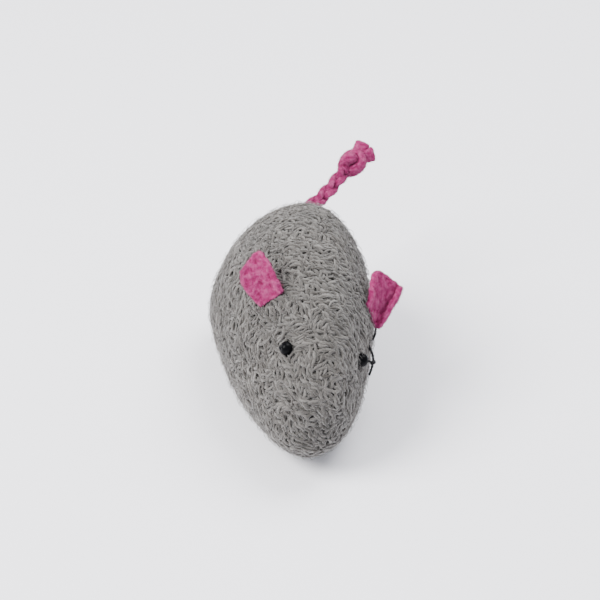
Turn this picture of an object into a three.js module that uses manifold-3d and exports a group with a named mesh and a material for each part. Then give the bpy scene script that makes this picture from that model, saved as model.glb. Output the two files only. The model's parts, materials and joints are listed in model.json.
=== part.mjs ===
// A hand-sewn stuffed mouse of brushed wool knit, with fleece ears, bead eyes and a plaited fleece tail.
// Millimetres, +Z up. The nose points along -Y, the rump along +Y, and the mouse's left side is +X.
// The toy slumps towards its left side on a flattened base.
import * as THREE from 'three';
import { mergeVertices } from 'three/addons/utils/BufferGeometryUtils.js';
import Module from 'manifold-3d';

const wasm = await Module();
wasm.setup();

// ---- Driving dimensions -----------------------------------------------------------------------------
const BODY_LENGTH = 93;
const BODY_WIDTH = 46;
const WAIST_HEIGHT = 18; // the body is widest at this height
const BACK_RISE = 38; // from the waist up to the top of the back
const BELLY_DROP = 23; // from the waist down, before the base flattens it
const END_BLUNTNESS = 0.72; // 1 gives an ellipse's ends, less gives blunter ones
const WIDTH_TAPER = 0.31; // how much narrower the nose is than the rump
const HEIGHT_TAPER = 0.2; // how much lower the nose is than the rump
const SECTION_POWER = 1.9; // 2 gives an elliptical cross-section
const LEAN = THREE.MathUtils.degToRad(16);
const BODY_OFFSET = new THREE.Vector3(-12.03, -12.57, 0); // puts the origin under the middle of the toy

const CLOTH = 2; // thickness of the knit
const GAP = 0.3; // clearance between neighbours
const SEAM_WIDTH = 1.2;
const SEAM_HEIGHT = 3.2; // the base panel is joined on at this height
const THREAD_RADIUS = 0.3;
const LOOSE_RADIUS = 0.35;

const EYE_ALONG = 51; // degrees from the nose, along the back
const EYE_AROUND = 47; // degrees from the ridge, down the side
const BEAD_RADIUS = 2;
const BEAD_HALF_WIDTH = 1.65;
const BEAD_HOLE = 0.62;
const BEAD_HEIGHT = 2.1; // from the skin to the bead's centre
const EYE_KNOT_RADIUS = 0.7;

const EAR_ALONG = 76;
const EAR_AROUND = 46.7;
const EAR_WIDTH = 10.6;
const EAR_LENGTH = 12.6;
const EAR_CLEAR = 1.5; // from the skin to the fold at the ear's base
const FLEECE = 2.1;

const TAIL_ALONG = 163;
const TAIL_DIRECTION = new THREE.Vector3(0.763, 0.548, 0.335).normalize();
const ROOT_RADIUS = 1.8;
const ROOT_DEPTH = 4;
const ROOT_PROUD = 1;
const BINDING_RADIUS = 1.5;
const STRIP_RADIUS = 0.8;
const PLAIT_HALF_WIDTH = 1.75;
const PLAIT_HALF_DEPTH = 1.3;
const PLAIT_ROLL = THREE.MathUtils.degToRad(42); // turns the plait's flat side up and outwards
const PLAIT_TURNS = 1.6;
const PLAIT_LENGTH = 22;
const KNOT_CLEAR = 0.7; // from the slanting ends of the strips to the knot
const KNOT_LENGTH = 10;
const KNOT_RADIUS = 5;
const TIP_LENGTH = 5;

const ACROSS = new THREE.Vector3(0, 1, 0); // the axis of the lean
const FAR = 200; // reaches well past the toy

// ---- Materials --------------------------------------------------------------------------------------
function material(color, roughness) {
  return new THREE.MeshStandardMaterial({ color, roughness, metalness: 0 });
}

const wool = () => material(0x9c9a95, 0.95);
const fleece = () => material(0xc75a96, 0.9);
const fill = () => material(0xe8e6e0, 1);
const greyThread = () => material(0x8d8b86, 0.8);
const pinkThread = () => material(0xb04a80, 0.8);
const blackThread = () => material(0x111114, 0.7);
const bead = () => material(0x08080a, 0.25);

// ---- Solids: joining and cutting --------------------------------------------------------------------
function solid(geometry) {
  const bare = geometry.clone();
  bare.deleteAttribute('normal');
  bare.deleteAttribute('uv');
  const merged = mergeVertices(bare, 1e-5);
  const vertProperties = new Float32Array(merged.attributes.position.array);
  const triVerts = new Uint32Array(merged.index.array);
  return new wasm.Manifold(new wasm.Mesh({ numProp: 3, vertProperties, triVerts }));
}

function geometryOf(manifold) {
  const { vertProperties, triVerts } = manifold.getMesh();
  const geometry = new THREE.BufferGeometry();
  geometry.setAttribute('position', new THREE.BufferAttribute(new Float32Array(vertProperties), 3));
  geometry.setIndex(new THREE.BufferAttribute(new Uint32Array(triVerts), 1));
  return geometry;
}

function block(size, centre) {
  return new THREE.BoxGeometry(size.x, size.y, size.z).translate(centre.x, centre.y, centre.z);
}

function above(height) {
  return solid(block(new THREE.Vector3(FAR, FAR, FAR), new THREE.Vector3(0, 0, height + FAR / 2)));
}

function below(height) {
  return solid(block(new THREE.Vector3(FAR, FAR, FAR), new THREE.Vector3(0, 0, height - FAR / 2)));
}

// ---- The body's shape -------------------------------------------------------------------------------
function signedPower(value, power) {
  return Math.sign(value) * Math.abs(value) ** power;
}

// A point on the upright body: along runs from 0 at the nose to 180 at the rump, around from 0 at the ridge.
function uprightPoint(along, around) {
  const a = THREE.MathUtils.degToRad(along);
  const b = THREE.MathUtils.degToRad(around);
  const swell = Math.sin(a) ** END_BLUNTNESS;
  const wide = swell * (1 - WIDTH_TAPER * Math.cos(a));
  const tall = swell * (1 - HEIGHT_TAPER * Math.cos(a));
  const rise = Math.cos(b) > 0 ? BACK_RISE : BELLY_DROP;
  return new THREE.Vector3(
    (BODY_WIDTH / 2) * wide * signedPower(Math.sin(b), 2 / SECTION_POWER),
    (-BODY_LENGTH / 2) * Math.cos(a),
    WAIST_HEIGHT + rise * tall * signedPower(Math.cos(b), 2 / SECTION_POWER),
  );
}

function uprightNormal(along, around) {
  const step = 0.5;
  const lengthwise = uprightPoint(along + step, around).sub(uprightPoint(along - step, around));
  const sidewise = uprightPoint(along, around + step).sub(uprightPoint(along, around - step));
  return lengthwise.cross(sidewise).normalize().negate();
}

function leaned(vector) {
  return vector.clone().applyAxisAngle(ACROSS, LEAN);
}

// A point at a height over the skin, and the skin's direction there, on the toy as it stands.
function onSkin(along, around, height = 0) {
  const normal = uprightNormal(along, around);
  return leaned(uprightPoint(along, around).addScaledVector(normal, height)).add(BODY_OFFSET);
}

// The whole body, inset everywhere by the same depth, and flat where it rests.
function bodySolid(inset) {
  const rings = 22;
  const spokes = 28;
  const positions = [];
  const index = [];
  const add = (point) => positions.push(...leaned(point).add(BODY_OFFSET).toArray());
  add(new THREE.Vector3(0, -BODY_LENGTH / 2 + inset, WAIST_HEIGHT));
  for (let ring = 1; ring < rings; ring += 1) {
    for (let spoke = 0; spoke < spokes; spoke += 1) {
      const along = (180 * ring) / rings;
      const around = (360 * (spoke + 0.5)) / spokes;
      add(uprightPoint(along, around).addScaledVector(uprightNormal(along, around), -inset));
    }
  }
  add(new THREE.Vector3(0, BODY_LENGTH / 2 - inset, WAIST_HEIGHT));
  const last = positions.length / 3 - 1;
  const at = (ring, spoke) => 1 + (ring - 1) * spokes + (spoke % spokes);
  for (let spoke = 0; spoke < spokes; spoke += 1) {
    index.push(0, at(1, spoke + 1), at(1, spoke));
    index.push(last, at(rings - 1, spoke), at(rings - 1, spoke + 1));
    for (let ring = 1; ring < rings - 1; ring += 1) {
      index.push(at(ring, spoke), at(ring + 1, spoke + 1), at(ring + 1, spoke));
      index.push(at(ring, spoke), at(ring, spoke + 1), at(ring + 1, spoke + 1));
    }
  }
  const geometry = new THREE.BufferGeometry();
  geometry.setAttribute('position', new THREE.Float32BufferAttribute(positions, 3));
  geometry.setIndex(index);
  return solid(geometry).intersect(above(inset));
}

// Everything on one side of the ridge's upright plane, leaned with the body. side is -1 right, 1 left.
function sideOf(side) {
  const geometry = block(
    new THREE.Vector3(FAR, FAR, 2 * FAR),
    new THREE.Vector3((side * (FAR + SEAM_WIDTH)) / 2, 0, 0),
  );
  geometry.rotateY(LEAN).translate(BODY_OFFSET.x, BODY_OFFSET.y, BODY_OFFSET.z);
  return solid(geometry);
}

// ---- Tubes and turned shapes ------------------------------------------------------------------------
function tube(points, radius, { sides = 8, steps = 24, closed = false } = {}) {
  const circle = new THREE.Shape();
  for (let k = 0; k < sides; k += 1) {
    const angle = (2 * Math.PI * k) / sides;
    const [x, y] = [radius * Math.cos(angle), radius * Math.sin(angle)];
    if (k === 0) circle.moveTo(x, y);
    else circle.lineTo(x, y);
  }
  circle.closePath();
  const extrudePath = new THREE.CatmullRomCurve3(points, closed, 'centripetal');
  return new THREE.ExtrudeGeometry(circle, { steps, bevelEnabled: false, extrudePath });
}

// A profile of [radius, height] points turned about an axis through a point.
function turned(profile, axis, centre, sides = 16) {
  const points = profile.map(([radius, height]) => new THREE.Vector2(radius, height));
  const geometry = new THREE.LatheGeometry(points, sides);
  geometry.applyQuaternion(new THREE.Quaternion().setFromUnitVectors(new THREE.Vector3(0, 1, 0), axis));
  return geometry.translate(centre.x, centre.y, centre.z);
}

function arcProfile(radius, height, count, from = -90, to = 90) {
  return Array.from({ length: count + 1 }, (_, k) => {
    const angle = THREE.MathUtils.degToRad(from + ((to - from) * k) / count);
    return [Math.max(radius * Math.cos(angle), 0), height * Math.sin(angle)];
  });
}

// ---- Eyes -------------------------------------------------------------------------------------------
const eyeAxis = leaned(new THREE.Vector3(1, 0, 0));
const eyeCentre = (side) => onSkin(EYE_ALONG, side * EYE_AROUND, BEAD_HEIGHT);

function eyeBead(side) {
  const belly = arcProfile(BEAD_RADIUS - BEAD_HOLE, BEAD_HALF_WIDTH, 8);
  const profile = belly.map(([radius, height]) => [radius + BEAD_HOLE, height]);
  profile.push(profile[0]);
  return turned(profile, eyeAxis, eyeCentre(side));
}

// One thread through the head and both beads, with a round knot outside each bead.
function eyeThread() {
  const reach = eyeCentre(1).distanceTo(eyeCentre(-1)) / 2;
  const knot = reach + BEAD_HALF_WIDTH + GAP + EYE_KNOT_RADIUS;
  const turn = Math.asin(THREAD_RADIUS / EYE_KNOT_RADIUS);
  const steps = 6;
  const half = [];
  for (let k = 0; k <= steps; k += 1) {
    const angle = turn + ((Math.PI - turn) * k) / steps;
    const radius = k === steps ? 0 : EYE_KNOT_RADIUS * Math.sin(angle);
    half.push([radius, knot - EYE_KNOT_RADIUS * Math.cos(angle)]);
  }
  const mirrored = half.map(([radius, height]) => [radius, -height]).reverse();
  const centre = eyeCentre(1).add(eyeCentre(-1)).multiplyScalar(0.5);
  return turned([...mirrored, ...half], eyeAxis, centre, 10);
}

function eyeTunnel() {
  const centre = eyeCentre(1).add(eyeCentre(-1)).multiplyScalar(0.5);
  const radius = THREAD_RADIUS + GAP;
  const half = BODY_WIDTH;
  return solid(turned([[0, -half], [radius, -half], [radius, half], [0, half]], eyeAxis, centre, 12));
}

// ---- Loose thread ends at the left eye --------------------------------------------------------------
// The long end kinks along the side of the head, passes under the ear and lies against the flank.
// Both routes are measured from under the middle of the body.
const LONG_END = [
  [24.6, -29.3, 30.8],
  [24.4, -28.1, 29.6],
  [25.4, -25.8, 28.6],
  [25.7, -23.2, 29.2],
  [24.9, -20.8, 30.8],
  [25.6, -18.4, 30.8],
  [27.4, -14.6, 28.8],
  [28.2, -12.5, 28.4],
  [28.9, -10.4, 28.2],
  [29.7, -6.4, 28.2],
  [30.3, -2.5, 28.0],
  [30.7, 1.0, 27.2],
  [30.9, 2.3, 26.4],
  [31.0, 3.5, 25.4],
  [31.2, 5.0, 23.0],
];
const SHORT_END = [
  [24.3, -30.6, 30.7],
  [23.8, -31.0, 29.3],
  [23.2, -31.2, 27.6],
];

function looseEnd(route, steps) {
  const points = route.map((point) => new THREE.Vector3(...point).add(BODY_OFFSET));
  return tube(points, LOOSE_RADIUS, { steps });
}

// ---- Seams and stitches -----------------------------------------------------------------------------
const SEAM_DEPTH = CLOTH / 2;
const BACK_SEAM_END = 154; // degrees along the back, just above the tail
const RUMP_SEAM_START = 171; // just below it

// The middle of the seam: over the ridge from one angle to another.
function ridgePoints(from, to, count) {
  const step = (to - from) / count;
  return Array.from({ length: count + 1 }, (_, k) => onSkin(from + step * k, 0, -SEAM_DEPTH));
}

// Halves a span again and again around the place where a test turns from true to false.
function bisect(whileTrue, otherwise, test) {
  let [high, low] = [whileTrue, otherwise];
  for (let k = 0; k < 30; k += 1) {
    const middle = (high + low) / 2;
    if (test(middle)) high = middle;
    else low = middle;
  }
  return (high + low) / 2;
}

const seamLine = (along, around) => onSkin(along, around, -SEAM_DEPTH);

// The angle at which the leaned section reaches lowest.
function lowestAround(along) {
  let lowest = 180;
  for (let around = 120; around <= 220; around += 2) {
    if (seamLine(along, around).z < seamLine(along, lowest).z) lowest = around;
  }
  return lowest;
}

// The belly line at one end, from where the thread comes up out of the base seam to the body's tip.
function bellyPoints(tip, inward, count) {
  const clear = SEAM_HEIGHT + SEAM_WIDTH;
  const points = [];
  for (let k = 0; k < count; k += 1) {
    const along = tip + inward * (2 + (26 * k) / count);
    const point = onSkin(along, 180, -SEAM_DEPTH);
    if (point.z > clear) points.push(point);
  }
  return points;
}

function backSeam() {
  const belly = bellyPoints(0, 1, 6).reverse();
  return tube([...belly, ...ridgePoints(2, BACK_SEAM_END, 16)], THREAD_RADIUS, { sides: 6, steps: 48 });
}

function rumpSeam() {
  const belly = bellyPoints(180, -1, 6);
  return tube([...ridgePoints(RUMP_SEAM_START, 178, 2), ...belly], THREAD_RADIUS, { sides: 6, steps: 14 });
}

function baseSeam() {
  const isHigh = (along) => seamLine(along, lowestAround(along)).z > SEAM_HEIGHT;
  const first = bisect(10, 90, isHigh);
  const last = bisect(175, 90, isHigh);
  const count = 12;
  const loop = [];
  for (const side of [90, 270]) {
    for (let k = 0; k <= count; k += 1) {
      const share = 0.5 - 0.5 * Math.cos((Math.PI * (k + 0.5)) / (count + 1));
      const along = side === 90 ? first + (last - first) * share : last - (last - first) * share;
      const around = bisect(side, lowestAround(along), (angle) => seamLine(along, angle).z > SEAM_HEIGHT);
      loop.push(seamLine(along, around));
    }
  }
  return tube(loop, THREAD_RADIUS, { sides: 6, steps: 56, closed: true });
}

// ---- Tail -------------------------------------------------------------------------------------------
const tailExit = onSkin(TAIL_ALONG, 0);
const tailNormal = leaned(uprightNormal(TAIL_ALONG, 0));
const pivot = tailExit.clone().addScaledVector(tailNormal, ROOT_PROUD + GAP + BINDING_RADIUS);
const tailSide = new THREE.Vector3(0, 0, 1).cross(TAIL_DIRECTION).normalize();
const tailUp = TAIL_DIRECTION.clone().cross(tailSide);

function tailPoint(forward, side = 0, up = 0) {
  const start = pivot.clone().addScaledVector(TAIL_DIRECTION, forward);
  return start.addScaledVector(tailSide, side).addScaledVector(tailUp, up);
}

function tailPocket() {
  const radius = ROOT_RADIUS + GAP;
  const bottom = -ROOT_DEPTH - GAP;
  const profile = [[0, bottom], [radius, bottom], [radius, BODY_WIDTH], [0, BODY_WIDTH]];
  return solid(turned(profile, tailNormal, tailExit, 12));
}

function tailRoot() {
  const profile = [[0, -ROOT_DEPTH], [ROOT_RADIUS, -ROOT_DEPTH], [ROOT_RADIUS, ROOT_PROUD], [0, ROOT_PROUD]];
  return turned(profile, tailNormal, tailExit, 12);
}

function tailBinding() {
  return turned(arcProfile(BINDING_RADIUS, BINDING_RADIUS, 6), tailNormal, pivot, 12);
}

const PLAIT_START = BINDING_RADIUS + GAP + STRIP_RADIUS;
const PLAIT_END = PLAIT_START + PLAIT_LENGTH;

function tailStrip(index) {
  const count = 24;
  const points = [];
  for (let k = 0; k <= count; k += 1) {
    const phase = 2 * Math.PI * ((PLAIT_TURNS * k) / count + index / 3);
    const [wide, deep] = [PLAIT_HALF_WIDTH * Math.sin(phase), PLAIT_HALF_DEPTH * Math.sin(2 * phase)];
    const side = wide * Math.cos(PLAIT_ROLL) - deep * Math.sin(PLAIT_ROLL);
    const up = wide * Math.sin(PLAIT_ROLL) + deep * Math.cos(PLAIT_ROLL);
    points.push(tailPoint(PLAIT_START + (PLAIT_LENGTH * k) / count, side, up));
  }
  return tube(points, STRIP_RADIUS, { steps: 28 });
}

function tailKnot() {
  const centre = tailPoint(PLAIT_END + KNOT_CLEAR + KNOT_LENGTH / 2);
  return turned(arcProfile(KNOT_RADIUS, KNOT_LENGTH / 2, 10), TAIL_DIRECTION, centre, 16);
}

function tailTip(index) {
  const start = PLAIT_END + 2 * KNOT_CLEAR + KNOT_LENGTH;
  const angle = (2 * Math.PI * index) / 3 + 0.6;
  const [side, up] = [Math.cos(angle), Math.sin(angle)];
  return tube(
    [tailPoint(start, side, up), tailPoint(start + TIP_LENGTH / 2, 1.5 * side, 1.5 * up),
      tailPoint(start + TIP_LENGTH, 2.4 * side, 2.4 * up)],
    STRIP_RADIUS,
    { steps: 5 },
  );
}

// ---- Ears -------------------------------------------------------------------------------------------
// Each ear stands out lengthwise from the side of the head. Its base edge lies along the skin, and its
// tip may be turned to face another way.
const EARS = {
  right: {
    side: -1,
    length: new THREE.Vector3(-0.457, 0.557, 0.696),
    base: new THREE.Vector3(0.728, -0.217, 0.651),
    tip: new THREE.Vector3(0.728, -0.217, 0.651),
  },
  left: {
    side: 1,
    length: new THREE.Vector3(0.543, 0.603, 0.585),
    base: new THREE.Vector3(0.253, 0.121, -0.96),
    tip: new THREE.Vector3(0.724, -0.111, -0.681),
  },
};

function earFrame({ side, length, base }) {
  const normal = leaned(uprightNormal(EAR_ALONG, side * EAR_AROUND));
  const long = length.clone().normalize();
  const wide = base.clone().projectOnPlane(normal).normalize();
  const face = wide.clone().cross(long).normalize();
  return { origin: onSkin(EAR_ALONG, side * EAR_AROUND, EAR_CLEAR), normal, long, wide, face };
}

function ear(spec) {
  const { origin, long, wide } = earFrame(spec);
  const geometry = new THREE.BoxGeometry(2, 1, FLEECE, 8, 8, 1);
  const position = geometry.attributes.position;
  for (let k = 0; k < position.count; k += 1) {
    const across = position.getX(k);
    const up = position.getY(k) + 0.5;
    const width = (EAR_WIDTH / 2) * (0.86 + 0.28 * Math.sin(2 * up)) * (1 - 0.16 * up ** 6);
    const height = EAR_LENGTH * up * (1 - 0.12 * across ** 4 * up);
    const cup = 1.5 * across ** 2 * up;
    const turned = wide.clone().lerp(spec.tip, THREE.MathUtils.smoothstep(up, 0, 1)).normalize();
    const face = turned.clone().cross(long).normalize();
    const point = origin.clone().addScaledVector(turned, across * width).addScaledVector(long, height);
    point.addScaledVector(face, cup + position.getZ(k));
    position.setXYZ(k, ...point.toArray());
  }
  return geometry;
}

// The skin's point at an offset along the skin from the ear's base, raised by a height.
function nearEarBase(side, offset, height) {
  const [along, around] = [EAR_ALONG, side * EAR_AROUND];
  const origin = onSkin(along, around);
  const perAlong = onSkin(along + 1, around).sub(origin);
  const perAround = onSkin(along, around + 1).sub(origin);
  const [a, b, c] = [perAlong.dot(perAlong), perAlong.dot(perAround), perAround.dot(perAround)];
  const [e, f] = [offset.dot(perAlong), offset.dot(perAround)];
  const scale = a * c - b * b;
  return onSkin(along + (c * e - b * f) / scale, around + (a * f - b * e) / scale, height);
}

// A zigzag of overcast stitches along the back of the ear's base.
function earStitch(spec) {
  const { normal, wide, face } = earFrame(spec);
  const behind = face.clone().negate().projectOnPlane(normal).normalize();
  const points = [];
  const count = 8;
  for (let k = 0; k <= count; k += 1) {
    const offset = wide.clone().multiplyScalar(EAR_WIDTH * 0.44 * ((2 * k) / count - 1));
    offset.addScaledVector(behind, k % 2 === 0 ? 2 : 3);
    points.push(nearEarBase(spec.side, offset, GAP + THREAD_RADIUS));
  }
  return tube(points, THREAD_RADIUS, { sides: 6, steps: 24 });
}

// ---- The toy ----------------------------------------------------------------------------------------
function named(name, geometry, paint) {
  const mesh = new THREE.Mesh(geometry, paint);
  mesh.name = name;
  return mesh;
}

const toy = new THREE.Group();
const shell = bodySolid(0).subtract(bodySolid(CLOTH)).subtract(eyeTunnel()).subtract(tailPocket());
const sides = shell.intersect(above(SEAM_HEIGHT + SEAM_WIDTH / 2));
toy.add(named('right_side_panel', geometryOf(sides.intersect(sideOf(-1))), wool()));
toy.add(named('left_side_panel', geometryOf(sides.intersect(sideOf(1))), wool()));
toy.add(named('base_panel', geometryOf(shell.intersect(below(SEAM_HEIGHT - SEAM_WIDTH / 2))), wool()));
const stuffing = bodySolid(CLOTH + GAP).subtract(eyeTunnel()).subtract(tailPocket());
toy.add(named('stuffing', geometryOf(stuffing), fill()));
for (const [name, side] of [['right', -1], ['left', 1]]) {
  toy.add(named(`${name}_eye_bead`, eyeBead(side), bead()));
  toy.add(named(`${name}_ear`, ear(EARS[name]), fleece()));
  toy.add(named(`${name}_ear_stitch`, earStitch(EARS[name]), pinkThread()));
}
toy.add(named('back_seam_thread', backSeam(), greyThread()));
toy.add(named('rump_seam_thread', rumpSeam(), greyThread()));
toy.add(named('base_seam_thread', baseSeam(), greyThread()));
toy.add(named('eye_thread', eyeThread(), blackThread()));
toy.add(named('loose_thread_long', looseEnd(LONG_END, 40), blackThread()));
toy.add(named('loose_thread_short', looseEnd(SHORT_END, 5), blackThread()));
toy.add(named('tail_root', tailRoot(), fleece()));
toy.add(named('tail_binding', tailBinding(), pinkThread()));
for (let index = 0; index < 3; index += 1) {
  toy.add(named(`tail_strip_${index + 1}`, tailStrip(index), fleece()));
  toy.add(named(`tail_tip_${index + 1}`, tailTip(index), fleece()));
}
toy.add(named('tail_knot', tailKnot(), fleece()));

export default toy;
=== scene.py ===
"""A hand-sewn stuffed mouse: brushed wool knit body, fleece ears, bead eyes and a plaited fleece tail."""
import json
import math

import bmesh
import bpy
import numpy as np
from mathutils import Matrix, Vector, noise
from mathutils.bvhtree import BVHTree


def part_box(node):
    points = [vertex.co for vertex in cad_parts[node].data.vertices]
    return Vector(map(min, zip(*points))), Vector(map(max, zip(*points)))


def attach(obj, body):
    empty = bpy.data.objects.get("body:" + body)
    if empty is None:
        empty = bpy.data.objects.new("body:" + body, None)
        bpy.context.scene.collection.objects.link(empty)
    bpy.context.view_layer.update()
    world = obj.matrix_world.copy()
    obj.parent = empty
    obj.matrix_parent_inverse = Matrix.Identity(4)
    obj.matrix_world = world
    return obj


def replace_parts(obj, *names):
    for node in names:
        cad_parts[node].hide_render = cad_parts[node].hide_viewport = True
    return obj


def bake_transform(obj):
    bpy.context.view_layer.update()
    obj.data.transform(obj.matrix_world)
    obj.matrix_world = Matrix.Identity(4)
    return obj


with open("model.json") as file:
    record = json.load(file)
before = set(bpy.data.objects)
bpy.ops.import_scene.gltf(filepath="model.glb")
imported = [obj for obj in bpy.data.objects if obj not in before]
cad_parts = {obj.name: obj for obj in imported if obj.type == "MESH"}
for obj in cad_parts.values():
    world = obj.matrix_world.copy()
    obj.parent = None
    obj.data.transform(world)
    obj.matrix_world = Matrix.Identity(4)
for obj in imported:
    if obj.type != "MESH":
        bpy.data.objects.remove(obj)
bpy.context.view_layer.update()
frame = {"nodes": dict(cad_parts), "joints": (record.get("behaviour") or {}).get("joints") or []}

MM = 0.001
RNG = np.random.default_rng(7)

# ---- Driving values: camera and floor -------------------------------------------------------------------
CAMERA_DISTANCE = 0.52
CAMERA_ELEVATION = math.radians(35)
CAMERA_AZIMUTH = math.radians(-8)
CAMERA_TARGET = Vector((-0.0053, -0.01339, 0.025))
CAMERA_RAISE = 0.0090  # how far above the target the camera looks
FIELD_OF_VIEW = math.radians(20.44)
FLOOR_HALF_SIZE = 3.0
FLOOR_DROP = 0.0002  # keeps the floor just clear of the lowest fibres
LIGHT_SIZE = 0.8
LIGHT_TARGET = Vector((0, 0, 0.03))

# ---- Driving values: stuffed body -----------------------------------------------------------------------
PANELS = ("right_side_panel", "left_side_panel", "base_panel")
SKIN_VOXEL = 2.0 * MM
SKIN_LOWEST = 0.9 * MM  # the height of the skin's underside, which leaves room for the yarn below it
INFLATE_SCALE = 10  # the cloth solver works at this many times the toy's size
INFLATE_START = 0.9 * MM  # how far inside the outline the skin starts
INFLATE_LIMITS = (-0.2 * MM, 0.5 * MM)  # how far from the outline it may end
INFLATE_PRESSURE = 4
INFLATE_FRAMES = 15
CLOTH_TENSION = 12
CLOTH_BENDING = 0.6
CLOTH_DEPTH = 0.4 * MM  # the ground cloth lies this far under the yarn's outline
CLOTH_THICKNESS = 1.2 * MM
# The ground cloth's dark tone is painted shade: it darkens the gaps between the yarn strands.
CLOTH_PAINTED_SHADE_TONE = 0.2
LUMPS = ((14 * MM, 0.5), (6 * MM, 0.22))  # how wide the stuffing's lumps are, and how high in millimetres
CREASE_WIDTH = 0.9 * MM
CREASE_DEPTH = 0.35 * MM

# ---- Driving values: wool yarn and loose fibres -----------------------------------------------------------
YARN_RADIUS = 0.50 * MM
YARN_FLATNESS = 0.75
YARN_LENGTH = (3.2 * MM, 6.0 * MM)
YARN_SPACING = 0.92 * MM
YARN_BEND = (0.3, 1.35)  # radians that each half of a strand bends
YARN_LIFT = 0.75 * MM  # the most that a strand's middle stands up
YARN_END_SINK = 0.35 * MM
YARN_TAPER = 0.75
YARN_TONE = (0.52, 0.17)  # the mean shade and its spread
YARN_LAY = np.array([0.64, -0.50, -0.58])  # the way the brushed yarn lies where nothing turns it
PATCH_SIZE = 7.5 * MM
PATCH_TURN = 1.7
WHIRL_SIZE = 3.2 * MM
WHIRL_TURN = 1.6
STRAY_TURN = 0.4
WOOL_FUZZ = {"spacing": 0.8 * MM, "length": (2.0 * MM, 5.0 * MM), "stand": 1.9 * MM,
             "radius": (0.035 * MM, 0.085 * MM), "shade": 0.72}
FLEECE_PILE = {"spacing": 0.42 * MM, "length": (0.5 * MM, 1.5 * MM), "stand": 0.5 * MM,
               "radius": (0.022 * MM, 0.04 * MM), "shade": 0.65}
FIBRE_BEND = 1.4
FIBRE_LOWEST = 0.1 * MM
FIBRE_SPREAD = 0.1  # how much the shade differs from fibre to fibre

# ---- Driving values: tail ---------------------------------------------------------------------------------
STRIP_WIDTH = 2.7 * MM
STRIP_THICKNESS = 1.7 * MM
STRIP_SQUEEZE = 0.86  # the share of its width that a strip keeps where it is plaited
PLAIT_START = -0.6 * MM  # measured from the point that the tail turns about
PLAIT_SHORT_OF_KNOT = 2.8 * MM
PLAIT_HALF_WIDTH = 1.3 * MM
PLAIT_HALF_DEPTH = 0.8 * MM
PLAIT_GATHER = (0.45, 0.12)  # how narrow the plait starts, and the share of its length where it widens
PLAIT_ROLL = math.radians(42)  # turns the plait's flat side up and outwards
PLAIT_TURNS = 1.6
KNOT_SCALE = 1.15 * MM
KNOT_TWIST = 1.6 * np.pi
KNOT_SPREAD = 0.85 * MM  # how far each strip lies from the middle of the knotted bundle
KNOT_STRIP = (1.75 * MM, 1.05 * MM)  # half a strip's width and thickness in the knot
TIP_LEANS = ((0.9, 0.3), (-0.1, -0.8), (-1.0, 0.5))  # how far each cut end leans across and out
TIP_HALF_THICKNESS = 1.15 * MM
TAIL_BOW = 1.7 * MM  # how far the plait sags to one side between its ends
ROOT_CLEAR = 1.9 * MM  # the stub stops this far short of the point that the tail turns about
ROOT_SUNK = 1.5 * MM
ROOT_STUB = (2.1 * MM, 1.8 * MM)  # half its width and thickness
ROOT_BEND = (2.15 * MM, 1.9 * MM)
ROOT_BEND_REACH = 2.0 * MM

# ---- Driving values: ears ---------------------------------------------------------------------------------
EAR_WIDTH = 10.6 * MM
EAR_LENGTH = 12.6 * MM
FLEECE = 1.7 * MM
RIM_RADIUS = 1.05 * MM
INNER_RIM = (0.8, 30, 1.0)  # start, turn and hem of the edge that is nearly flat
FLEECE_VOXEL = 0.3 * MM
# Painted shade: the tone that folds and meeting pieces lose where little space around them is free.
PAINTED_FOLD_SHADE = 1.2  # how much of the tone a closed fold takes away
EAR_BULGE = (0.86, 0.28)  # the base's share of the width, and how much wider the middle is
EAR_CORNERS = (0.12, 0.10)  # how much the tip's corners are rounded off across and lengthwise
EAR_SUNK = 0.09  # the share of the length that starts inside the wool
EAR_CUP = 0.9 * MM
EAR_LEAN = 0.7 * MM
EAR_WAVE = 0.5 * MM
# Depth and size raise the tufts, with painted shade in the pits between them; reach is how far the painted
# shade in folds and where pieces meet looks out.
EAR_FELT_AND_SHADE = {"depth": 0.26 * MM, "size": 1.5 * MM, "reach": 2.2 * MM}
TAIL_FELT_AND_SHADE = {"depth": 0.14 * MM, "size": 1.3 * MM, "reach": 1.6 * MM}
# Each ear's directions lengthwise and across its tip are those of the CAD part. Its outer rim rolls forward
# from a share of the half width, by rim_turn degrees; hem is how much cloth the roll takes, slant how much
# longer the ear is on its outer side, and cut the flat size of the sheet.
EARS = {
    "right": {"length": (-0.457, 0.557, 0.696), "tip": (0.728, -0.217, 0.651), "rim": 0.72, "rim_turn": 75,
              "hem": 1.0, "slant": 0.12, "cut": (11.5 * MM, 13.0 * MM)},
    "left": {"length": (0.543, 0.603, 0.585), "tip": (0.724, -0.111, -0.681), "rim": 0.64, "rim_turn": 150,
             "hem": 1.9, "slant": 0.0, "cut": (12.6 * MM, 12.8 * MM)},
}

# ---- Driving values: beads and threads --------------------------------------------------------------------
BEAD_RADIUS = 2.05 * MM
BEAD_HALF_LENGTH = 1.68 * MM
BEAD_HOLE = 0.45 * MM
BEAD_SINK = {"right": 1.0 * MM, "left": 1.5 * MM}  # how far the thread pulls each bead into the wool
STITCH_RADIUS = 0.3 * MM
STITCH_DEPTH = 3 * MM
EYE_KNOT_SIZE = 0.26 * MM
THREAD_DIAMETER = 0.7 * MM
THREAD_TWIST = 2.4 * MM  # the length of one turn of the two plies
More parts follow.
